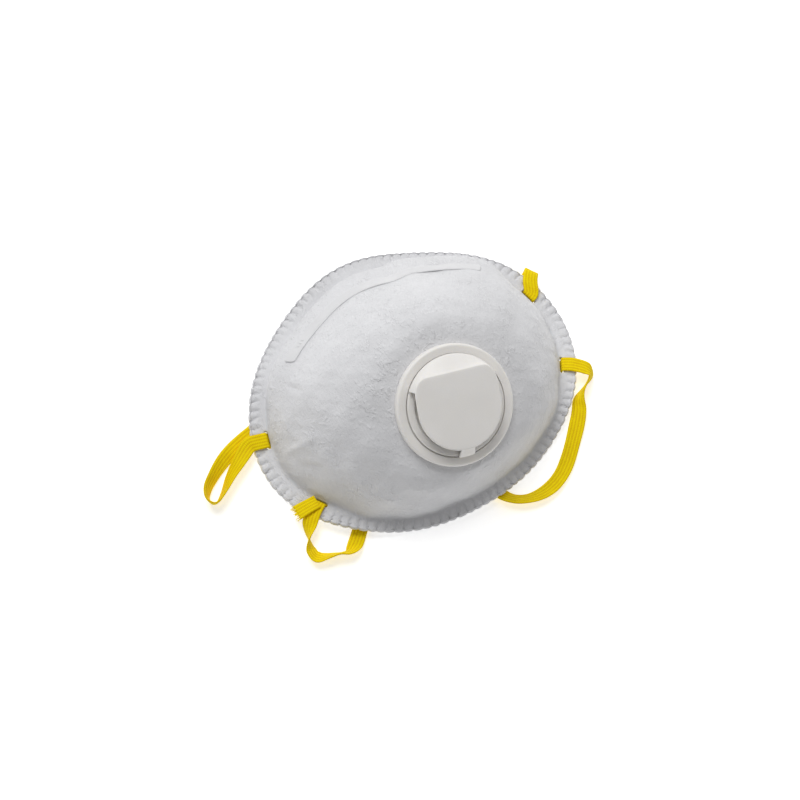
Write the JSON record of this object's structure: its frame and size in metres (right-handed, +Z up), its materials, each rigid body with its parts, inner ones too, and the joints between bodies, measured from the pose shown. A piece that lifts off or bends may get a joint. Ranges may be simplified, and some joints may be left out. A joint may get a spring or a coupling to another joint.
{
  "type": "disposable dust mask",
  "caption": "Moulded cup dust mask with a ribbed welded rim, nose clip, round exhalation valve with a hinged diaphragm, and elastic head bands.",
  "frame": {"origin": "on the surface the rim stands on, midway between the cheeks and between nose and chin, measured without the head bands", "axes": "+X across the mask from cheek to cheek, +Y towards the nose, -Y towards the chin, +Z up out of the dome"},
  "size_m": [0.1695, 0.1231, 0.0538],
  "materials": {
    "needle_felt": "fuzzy white needle-felt, pressed and ribbed at the rim",
    "filter_web": "smooth melt-blown web",
    "inner_felt": "smooth heat-pressed felt",
    "clip_coat": "satin white coating over soft metal",
    "foam": "open-cell grey foam",
    "valve_white": "satin injection-moulded warm white",
    "silicone": "smooth translucent white silicone",
    "elastic": "yellow knitted elastic tape"
  },
  "bodies": {
    "mask": {"outer_cover": "needle_felt", "filter_layer": "filter_web", "inner_shell": "inner_felt", "nose_clip": "clip_coat", "nose_foam": "foam", "valve_base": "valve_white", "valve_backing_ring": "valve_white", "valve_cover": "valve_white", "flap_root": "silicone", "upper_band": "elastic", "lower_band": "elastic", "upper_band_wrap_left": "elastic", "upper_band_wrap_right": "elastic", "lower_band_wrap_left": "elastic", "lower_band_wrap_right": "elastic", "lower_band_tail": "elastic"},
    "flap": {"valve_flap": "silicone"}
  },
  "joints": [
    {"name": "flap_lift", "type": "hinge", "parent": "mask", "child": "flap", "pos_m": [0.00298, -0.01605, 0.04707], "axis": [-0.9659, 0.2306, 0.1175], "range_deg": [0, 7.5], "stiffness_Nm_per_rad": 0.0004}
  ]
}
